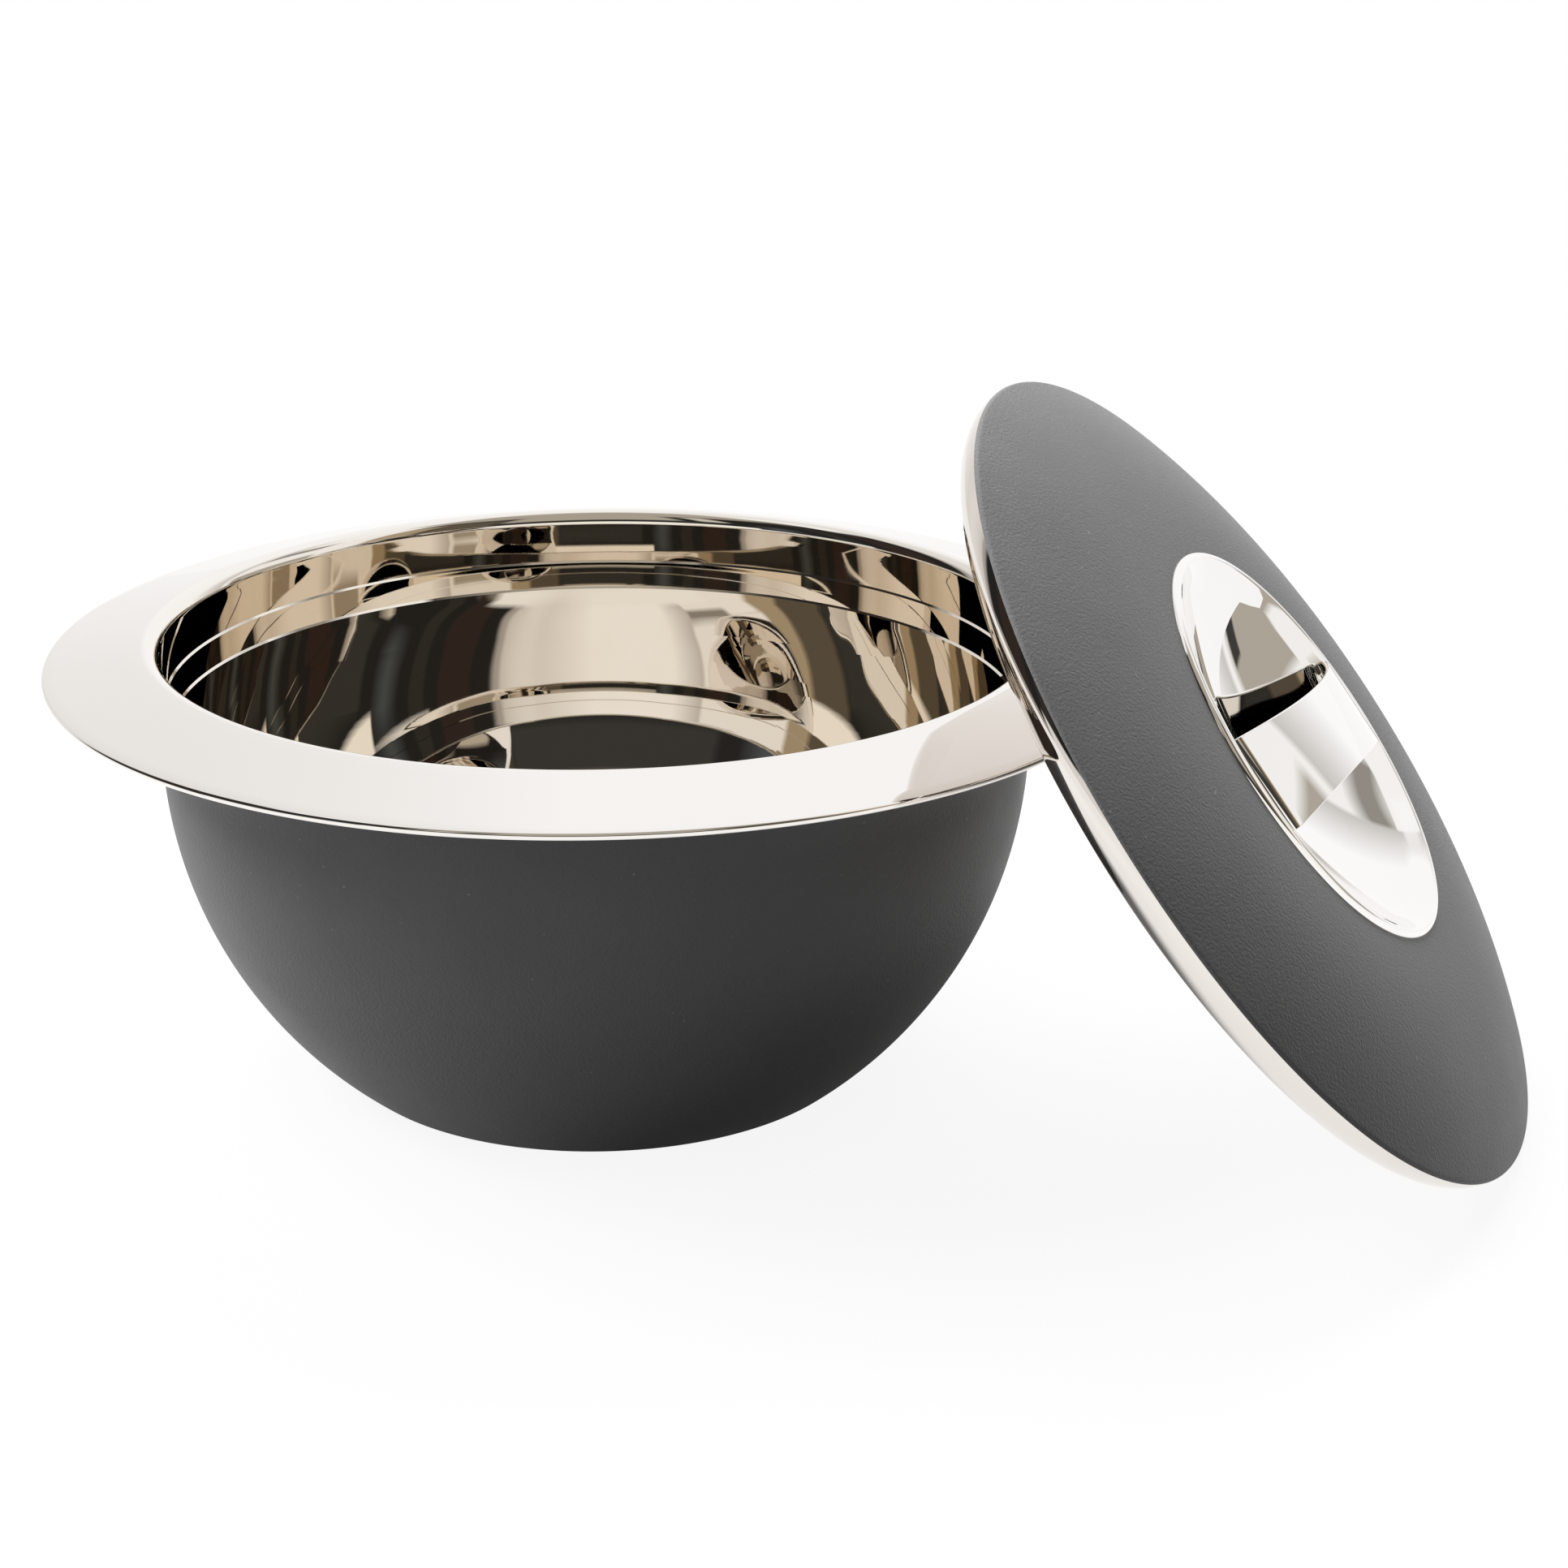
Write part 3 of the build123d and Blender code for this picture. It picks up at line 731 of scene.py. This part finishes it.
join(
    ripples,
    (where, "Object", waves, "Vector"),
    (where, "Object", apart, 0),
    (apart, "X", aside, 0),
    (aside, 0, at_sides, "Value"),
    (where, "Object", levelled, 0),
    (levelled, "Vector", reach, 0),
    (reach, "Value", inside, "Value"),
    (at_sides, "Result", patch, 0),
    (inside, "Result", patch, 1),
    (waves, "Fac", swelled, 0),
    (patch, 0, swelled, 1),
    (swelled, 0, bent, "Height"),
    (ripples_in, "Height", bent, "Distance"),
    (bent, "Normal", ripples_out, "Normal"),
)
print("group", ripples.name, "of", len(ripples.nodes), "nodes")

# %% [markdown]
# ## Polished steel
# The real metal is one steel, and its tint in a picture comes from the room. A studio
# of plain panels can't give every surface its own part of a real room, so the tint
# goes with the piece: straw in the bowl, cream on the lid's pan and the palest on the
# dish and the strap. On the inner bowl the straw turns into a paler flange tint over a
# few millimetres at the neck's crest.

# %% Polished steel
clean_gloss, film_gloss, film_scale = 0.008, 0.018, 18.0


def polished_steel(name, clear, filmed, ripple_height):
    """Mirror steel between two close tints, with handling marks and press ripples."""
    material, tree, shader = new_material(name)
    shader.inputs["Metallic"].default_value = 1.0
    pressed = add(tree, "ShaderNodeGroup", node_tree=ripples)
    pressed.inputs["Height"].default_value = ripple_height
    handled = add(tree, "ShaderNodeGroup", {
        "Clean": clean_gloss, "Film": film_gloss, "Scale": film_scale,
    }, node_tree=marks)
    tint = colours(tree, clear, filmed)
    join(
        tree,
        (handled, "Cloud", tint, "Factor"),
        (tint, "Result", shader, "Base Color"),
        (handled, "Roughness", shader, "Roughness"),
        (pressed, "Normal", shader, "Normal"),
    )
    return material, tree, shader, tint


print("clean steel has a roughness of", clean_gloss)

# %% Steel of the inner bowl
straw_clear, straw_filmed = (0.88, 0.83, 0.755), (0.86, 0.805, 0.73)
flange_tint = (0.89, 0.865, 0.835)
straw_reach, flange_reach = 0.117, 0.124

bowl_steel, tree, shader, tint = polished_steel(
    "polished_steel", straw_clear, straw_filmed, ripple_height=0.0005,
)
where = add(tree, "ShaderNodeTexCoord")
levelled = add(tree, "ShaderNodeVectorMath", {1: level_only}, operation="MULTIPLY")
reach = add(tree, "ShaderNodeVectorMath", operation="LENGTH")
outer = add(tree, "ShaderNodeMapRange", {"From Min": straw_reach, "From Max": flange_reach})
by_place = colours(tree, second=flange_tint)
join(
    tree,
    (where, "Object", levelled, 0),
    (levelled, "Vector", reach, 0),
    (reach, "Value", outer, "Value"),
    (outer, "Result", by_place, "Factor"),
    (tint, "Result", by_place, "A"),
    (by_place, "Result", shader, "Base Color"),
)
dress(inner_bowl, bowl_steel)

# %% Steel of the lid
pale_clear, pale_filmed = (0.93, 0.915, 0.895), (0.91, 0.895, 0.87)
cream_clear, cream_filmed = (0.83, 0.785, 0.74), (0.81, 0.765, 0.72)
lid_ripple_height = 0.0008

handle_steel, *_ = polished_steel(
    "polished_handle_steel", pale_clear, pale_filmed, lid_ripple_height,
)
pan_steel, *_ = polished_steel(
    "polished_pan_steel", cream_clear, cream_filmed, lid_ripple_height,
)
dress(lid_pan, pan_steel)
dress(handle_dish, handle_steel)
dress(handle_strap, handle_steel)

# %% [markdown]
# ## The powder coat
# The charcoal coat is baked powder. It has a fine pebbled skin, a satin gloss that
# varies slowly from place to place, and here and there a single paler grain. The
# pebbles are under a millimetre, so they are a bump and not a displaced mesh. Three
# noises of different sizes stand for skin, clouds and grains.

# %% Powder coat
coat_dark, coat_light = (0.092, 0.092, 0.093), (0.114, 0.114, 0.115)
grain_tone, grain_share = (0.36, 0.36, 0.35), 0.25
satin_least, satin_most = 0.42, 0.52

coat, tree, shader = new_material("charcoal_coat")
shader.inputs["Specular IOR Level"].default_value = 0.30
where = add(tree, "ShaderNodeTexCoord")
pebble = add(tree, "ShaderNodeTexNoise", {"Scale": 1300.0, "Detail": 1.0, "Roughness": 0.5})
swell = add(tree, "ShaderNodeTexNoise", {"Scale": 28.0, "Detail": 3.0, "Roughness": 0.55})
specks = add(tree, "ShaderNodeTexNoise", {"Scale": 700.0, "Detail": 0.0})
skin = add(tree, "ShaderNodeBump", {"Strength": 0.75, "Distance": 0.00022})
clouds = add(tree, "ShaderNodeMapRange", {"From Min": 0.3, "From Max": 0.7})
picked = add(tree, "ShaderNodeMapRange", {
    "From Min": 0.84, "From Max": 0.88, "To Max": grain_share,
})
shade = colours(tree, coat_dark, coat_light)
speckled = colours(tree, second=grain_tone)
gloss = add(tree, "ShaderNodeMapRange", {"To Min": satin_least, "To Max": satin_most})
join(
    tree,
    (where, "Object", pebble, "Vector"),
    (where, "Object", swell, "Vector"),
    (where, "Object", specks, "Vector"),
    (pebble, "Fac", skin, "Height"),
    (skin, "Normal", shader, "Normal"),
    (swell, "Fac", clouds, "Value"),
    (clouds, "Result", shade, "Factor"),
    (clouds, "Result", gloss, "Value"),
    (specks, "Fac", picked, "Value"),
    (picked, "Result", speckled, "Factor"),
    (shade, "Result", speckled, "A"),
    (speckled, "Result", shader, "Base Color"),
    (gloss, "Result", shader, "Roughness"),
)
for piece in (outer_shell, lid_top):
    dress(piece, coat)

# %% [markdown]
# ## Foam
# Foam fills the wall and the lid. It is sealed in on the real bowl, and here it keeps
# its CAD shape. It still gets a finish, because the part may be taken apart or cut
# open. Voronoi cells stand for the foam's pores.

# %% Foam
foam_deep, foam_pale = (0.80, 0.72, 0.50), (0.90, 0.84, 0.64)

foam, tree, shader = new_material("wall_foam")
shader.inputs["Roughness"].default_value = 0.85
where = add(tree, "ShaderNodeTexCoord")
cells = add(tree, "ShaderNodeTexVoronoi", {"Scale": 700.0})
pores = add(tree, "ShaderNodeBump", {"Strength": 0.5, "Distance": 0.0004})
tone = colours(tree, foam_deep, foam_pale)
join(
    tree,
    (where, "Object", cells, "Vector"),
    (cells, "Distance", pores, "Height"),
    (cells, "Distance", tone, "Factor"),
    (tone, "Result", shader, "Base Color"),
    (pores, "Normal", shader, "Normal"),
)
for node in ("bowl_insulation", "lid_insulation"):
    dress(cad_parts[node], foam)

# %% [markdown]
# ## Silicone
# The seal under the flange and the pad in the base are moulded silicone: nearly
# black, dull, and never quite free of dust. One fine noise gives its grain, its gloss
# and its tone together, as one skin has them.

# %% Silicone
silicone_deep, silicone_dusty = (0.022, 0.022, 0.024), (0.034, 0.034, 0.036)

silicone, tree, shader = new_material("black_silicone")
where = add(tree, "ShaderNodeTexCoord")
grain = add(tree, "ShaderNodeTexNoise", {"Scale": 500.0, "Detail": 3.0})
skin = add(tree, "ShaderNodeBump", {"Strength": 0.2, "Distance": 0.0002})
dust = add(tree, "ShaderNodeMapRange", {"To Min": 0.6, "To Max": 0.8})
tone = colours(tree, silicone_deep, silicone_dusty)
join(
    tree,
    (where, "Object", grain, "Vector"),
    (grain, "Fac", skin, "Height"),
    (grain, "Fac", dust, "Value"),
    (grain, "Fac", tone, "Factor"),
    (tone, "Result", shader, "Base Color"),
    (dust, "Result", shader, "Roughness"),
    (skin, "Normal", shader, "Normal"),
)
for node in ("rim_seal", "base_pad"):
    dress(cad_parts[node], silicone)

# %% [markdown]
# ## Plain steel
# The clamp under the dish, its studs and its nuts are steel as it comes from the
# works, not polished. The same handling marks serve, rougher and much finer.

# %% Plain steel
works_dark, works_light = (0.55, 0.55, 0.56), (0.64, 0.64, 0.64)

plain, tree, shader = new_material("plain_steel")
shader.inputs["Metallic"].default_value = 1.0
handled = add(tree, "ShaderNodeGroup", {
    "Clean": 0.3, "Film": 0.15, "Scale": 90.0,
}, node_tree=marks)
tint = colours(tree, works_dark, works_light)
join(
    tree,
    (handled, "Cloud", tint, "Factor"),
    (tint, "Result", shader, "Base Color"),
    (handled, "Roughness", shader, "Roughness"),
)
for node in ("dish_clamp_ring", "dish_studs", "dish_nuts"):
    dress(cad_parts[node], plain)

# %% [markdown]
# ## What kind of ray asks
# The floor and the world look white to the camera, to mirrors and to glass, while they
# light the object at a plain level. Light Path tells those rays from the rest. It
# stays in each tree rather than in a group, so a function adds it.

# %% Seen rays
def seen_rays(tree):
    """Light Path, and a node that is 1 for camera, mirror and glass rays: the largest."""
    rays = add(tree, "ShaderNodeLightPath")
    looked = add(tree, "ShaderNodeMath", operation="MAXIMUM")
    through = add(tree, "ShaderNodeMath", operation="MAXIMUM")
    join(
        tree,
        (rays, "Is Camera Ray", looked, 0),
        (rays, "Is Glossy Ray", looked, 1),
        (looked, 0, through, 0),
        (rays, "Is Transmission Ray", through, 1),
    )
    return rays, through


print("camera, mirror and glass rays are told from the rest")

# %% [markdown]
# ## The floor
# The floor is one pale sheet. A shadow catcher would need a compositor, so the floor
# shows its own shadow: close to the object it is its lit colour with added light, and
# further out it fades to plain white. Under the bowl the added light sinks for mirror
# rays only, because the coat there mirrors a floor in deep shade.

# %% Floor sheet
floor_half = 6.0

floor_mesh = bpy.data.meshes.new("floor")
floor_corners = [(-1, -1), (1, -1), (1, 1), (-1, 1)]
floor_points = [(x * floor_half, y * floor_half, 0) for x, y in floor_corners]
floor_mesh.from_pydata(floor_points, [], [(0, 1, 2, 3)])
floor = bpy.data.objects.new("floor", floor_mesh)
bpy.context.scene.collection.objects.link(floor)
print("floor", 2 * floor_half, "m wide")

# %% Floor light, as the camera and mirrors see it
floor_tone, shadow_tone, floor_lift = 0.08, 0.06, 0.90
fade_start, fade_end = 0.34, 0.75
shade_place = (0.05, 0.0, 0.0)
shade_inner, shade_outer, shade_depth = 0.08, 0.17, 0.85

pale, tree, shader = new_material("pale_floor")
where = add(tree, "ShaderNodeTexCoord")
rays, asked = seen_rays(tree)
off_middle = add(tree, "ShaderNodeVectorMath", {1: shade_place}, operation="DISTANCE")
under = add(tree, "ShaderNodeMapRange", {
    "From Min": shade_inner, "From Max": shade_outer, "To Min": shade_depth, "To Max": 0.0,
}, interpolation_type="SMOOTHSTEP")
held = add(tree, "ShaderNodeMath", operation="MULTIPLY")
kept = add(tree, "ShaderNodeMath", {0: 1.0}, operation="SUBTRACT")
strength = add(tree, "ShaderNodeMath", {1: floor_lift}, operation="MULTIPLY")
lift = add(tree, "ShaderNodeEmission")
shadowed = add(tree, "ShaderNodeBsdfDiffuse", {"Color": (*[shadow_tone] * 3, 1)})
lifted = add(tree, "ShaderNodeAddShader")
join(
    tree,
    (where, "Object", off_middle, 0),
    (off_middle, "Value", under, "Value"),
    (under, "Result", held, 0),
    (rays, "Is Glossy Ray", held, 1),
    (held, 0, kept, 1),
    (kept, 0, strength, 0),
    (strength, 0, lift, "Strength"),
    (shadowed, 0, lifted, 0),
    (lift, 0, lifted, 1),
)
print("deep shade for mirrors out to", shade_outer, "m")

# %% Floor finish
shader.inputs["Base Color"].default_value = (*[floor_tone] * 3, 1)
shader.inputs["Roughness"].default_value = 0.9
shader.inputs["Specular IOR Level"].default_value = 0.0
reach = add(tree, "ShaderNodeVectorMath", operation="LENGTH")
fade = add(tree, "ShaderNodeMapRange", {
    "From Min": fade_start, "From Max": fade_end,
}, interpolation_type="SMOOTHSTEP")
white = add(tree, "ShaderNodeEmission", {"Strength": 1.0})
faded = add(tree, "ShaderNodeMixShader")
shown = add(tree, "ShaderNodeMixShader")
surface = next(n for n in tree.nodes if n.type == "OUTPUT_MATERIAL")
join(
    tree,
    (where, "Object", reach, 0),
    (reach, "Value", fade, "Value"),
    (fade, "Result", faded, "Fac"),
    (lifted, 0, faded, 1),
    (white, 0, faded, 2),
    (asked, 0, shown, "Fac"),
    (shader, 0, shown, 1),
    (faded, 0, shown, 2),
    (shown, 0, surface, "Surface"),
)
dress(floor, pale)

# %% [markdown]
# ## A panel of the studio
# Polished steel shows the room it stands in. A picture of a room could be wrapped
# round the scene, but a few plain panels are lighter and can be set one by one. Each
# lies between two azimuths and two elevations in degrees. Its mask is the product of
# four clamped slopes, one for each edge.

# %% Panel group
panel_group, panel_in, panel_out = new_group(
    "studio_panel",
    ("Azimuth", "Elevation", "Left", "Right", "Low", "High", "Edge"),
    {"Mask": "NodeSocketFloat"},
)
edges = (("Azimuth", "Left"), ("Right", "Azimuth"), ("Elevation", "Low"), ("High", "Elevation"))
slopes = []
for above, below in edges:
    past_edge = add(panel_group, "ShaderNodeMath", operation="SUBTRACT")
    slope = add(panel_group, "ShaderNodeMath", operation="DIVIDE", use_clamp=True)
    join(
        panel_group,
        (panel_in, above, past_edge, 0),
        (panel_in, below, past_edge, 1),
        (past_edge, 0, slope, 0),
        (panel_in, "Edge", slope, 1),
    )
    slopes.append(slope)
mask = slopes[0]
for slope in slopes[1:]:
    product = add(panel_group, "ShaderNodeMath", operation="MULTIPLY")
    join(panel_group, (mask, 0, product, 0), (slope, 0, product, 1))
    mask = product
join(panel_group, (mask, 0, panel_out, "Mask"))
print("group", panel_group.name, "of", len(panel_group.nodes), "nodes")

# %% [markdown]
# ## The panels
# Azimuth 0 is straight behind the object and 90 is to its right, and 180 is the
# camera's side. The room itself is dark. Each panel covers those above it in the
# table where they overlap: light overhead, dim sheets far and near, warm and white
# ones at the right, dark ones at the left, pale ones low in front, and behind the
# object a backdrop that is widest high up and dimmer towards its left.

# %% Panels
dark_room = (0.021, 0.020, 0.019, 1)
overhead = (0.43, 0.39, 0.33)
far_dark = (0.042, 0.041, 0.037)
low_pale = (1.00, 0.97, 0.92)
panels = [  # name, azimuth from and to, elevation from and to, soft edge, colour
    ("overhead", -200, 200, 56, 110, 10, overhead),
    ("overhead_near_right", 150, 220, 29, 110, 4, overhead),
    ("overhead_near_left", -220, -152, 29, 110, 4, overhead),
    ("far_dark_right", 150, 200, 15, 32, 3, far_dark),
    ("far_dark_left", -200, -140, 15, 32, 3, far_dark),
    ("brown_right", 124, 152, -20, 56, 4, (0.115, 0.095, 0.070)),
    ("warm_right", 100, 128, -20, 56, 4, (0.42, 0.34, 0.235)),
    ("pale_warm_right", 86, 104, 32, 52, 4, (0.60, 0.56, 0.48)),
    ("white_right", 56, 112, -40, 42, 3, (0.95, 0.94, 0.93)),
    ("white_high_right", 56, 112, 38, 66, 4, (0.97, 0.96, 0.95)),
    ("shade_high_right", 55, 90, 35, 49, 5, (0.30, 0.28, 0.25)),
    ("shade_low_right", 62, 97, -10, 19, 3, (0.44, 0.40, 0.34)),
    ("dark_slit_right", 64, 70, -10, 5, 1, (0.050, 0.048, 0.045)),
    ("haze_left", -134, -116, 6, 34, 8, (0.070, 0.080, 0.084)),
    ("dark_left", -110, -99, -5, 60, 2, (0.034, 0.032, 0.028)),
    ("dark_warm_left", -92, -71, -5, 60, 2, (0.036, 0.025, 0.021)),
    ("low_pale_left", -138, -96, -40, 9, 2, (0.80, 0.79, 0.77)),
    ("low_grey_left", -98, -60, -40, 4, 2, (0.35, 0.33, 0.30)),
    ("low_pale_front_right", 108, 200, -40, 15, 1.5, low_pale),
    ("low_pale_front_left", -200, -132, -40, 15, 1.5, low_pale),
    ("pale_high_left", -149, -137, 32, 60, 3, (0.62, 0.58, 0.50)),
    ("backdrop_fold", -61, -52, -40, 92, 3, (0.34, 0.32, 0.30)),
    ("backdrop", -56, 61, -40, 78, 2, (0.62, 0.60, 0.58)),
    ("backdrop_lit", -54, 59, -70, 84, 16, (1.03, 1.03, 1.04)),
    ("backdrop_top", -84, 86, 52, 77, 6, (1.00, 1.00, 1.00)),
    ("backdrop_dim", -62, -2, -70, 84, 28, (0.82, 0.80, 0.78)),
]
print("studio of", len(panels), "panels")

# %% [markdown]
# ## The world
# A world's Generated coordinate is the direction that a ray looks in. Its azimuth is
# the arctangent of x over y, and its elevation the arcsine of z. The panels are mixed
# over the dark room one after another.

# %% World colours
world = bpy.data.worlds.new("studio")
bpy.context.scene.world = world
world.use_nodes = True
tree = world.node_tree
tree.nodes.clear()
direction = add(tree, "ShaderNodeTexCoord")
axes = add(tree, "ShaderNodeSeparateXYZ")
turn = add(tree, "ShaderNodeMath", operation="ARCTAN2")
azimuth = add(tree, "ShaderNodeMath", operation="DEGREES")
rise = add(tree, "ShaderNodeMath", operation="ARCSINE")
elevation = add(tree, "ShaderNodeMath", operation="DEGREES")
join(
    tree,
    (direction, "Generated", axes, 0),
    (axes, "X", turn, 0),
    (axes, "Y", turn, 1),
    (turn, 0, azimuth, 0),
    (axes, "Z", rise, 0),
    (rise, 0, elevation, 0),
)
room, room_output = add(tree, "ShaderNodeRGB"), "Color"
room.outputs[room_output].default_value = dark_room
for name, left, far, low, high, edge, tone in panels:
    panel = add(tree, "ShaderNodeGroup", {
        "Left": left, "Right": far, "Low": low, "High": high, "Edge": edge,
    }, node_tree=panel_group, name=name, label=name)
    hung = colours(tree, second=tone)
    join(
        tree,
        (azimuth, 0, panel, "Azimuth"),
        (elevation, 0, panel, "Elevation"),
        (panel, "Mask", hung, "Factor"),
        (room, room_output, hung, "A"),
    )
    room, room_output = hung, "Result"
print("world of", len(tree.nodes), "nodes")

# %% [markdown]
# ## Who sees the room
# Mirror rays see the room. The camera and glass see plain white, and all other rays
# take one low, even light, so that the lamps shape the object.

# %% World
lit_level = 0.09
all_white = (1, 1, 1, 1)

output = add(tree, "ShaderNodeOutputWorld")
mirrored = add(tree, "ShaderNodeBackground", {"Strength": 1.0})
lit = add(tree, "ShaderNodeBackground", {"Color": all_white, "Strength": lit_level})
seen = add(tree, "ShaderNodeBackground", {"Color": all_white, "Strength": 1.0})
rays, asked = seen_rays(tree)
white_or_room = add(tree, "ShaderNodeMixShader")
chosen = add(tree, "ShaderNodeMixShader")
join(
    tree,
    (room, room_output, mirrored, "Color"),
    (rays, "Is Glossy Ray", white_or_room, "Fac"),
    (seen, 0, white_or_room, 1),
    (mirrored, 0, white_or_room, 2),
    (asked, 0, chosen, "Fac"),
    (lit, 0, chosen, 1),
    (white_or_room, 0, chosen, 2),
    (chosen, 0, output, "Surface"),
)
print("even light of", lit_level)

# %% [markdown]
# ## The lamps
# Four soft lamps shape the coat: a strong wide one above and behind, a strong one high
# at the left, and two weak ones low at the front left and the back right. A sun would
# give hard shadows, so they are square area lamps. Mirrors don't show them, because
# the panels stand for them there.

# %% Lamps
def soft_lamp(name, place, aim, size, power):
    """Square area lamp at a place, turned so that its -Z points at the aim."""
    data = bpy.data.lights.new(name, "AREA")
    data.shape = "SQUARE"
    data.size = size
    data.energy = power
    lamp = bpy.data.objects.new(name, data)
    lamp.location = place
    lamp.rotation_euler = (Vector(aim) - Vector(place)).to_track_quat("-Z", "Y").to_euler()
    lamp.visible_glossy = False
    bpy.context.scene.collection.objects.link(lamp)
    print(name, power, "W")


soft_lamp("lamp_above", (0.3, 1.15, 1.45), aim=(0.05, 0.0, 0.1), size=1.4, power=75.0)
soft_lamp("lamp_high_left", (-1.1, -0.1, 1.4), aim=(0.1, 0.0, 0.1), size=1.0, power=55.0)
soft_lamp("lamp_left", (-1.2, -0.9, 0.7), aim=(0.0, 0.0, 0.1), size=0.9, power=9.0)
soft_lamp("lamp_right", (1.3, 0.9, 0.35), aim=(0.1, 0.0, 0.1), size=0.9, power=12.0)
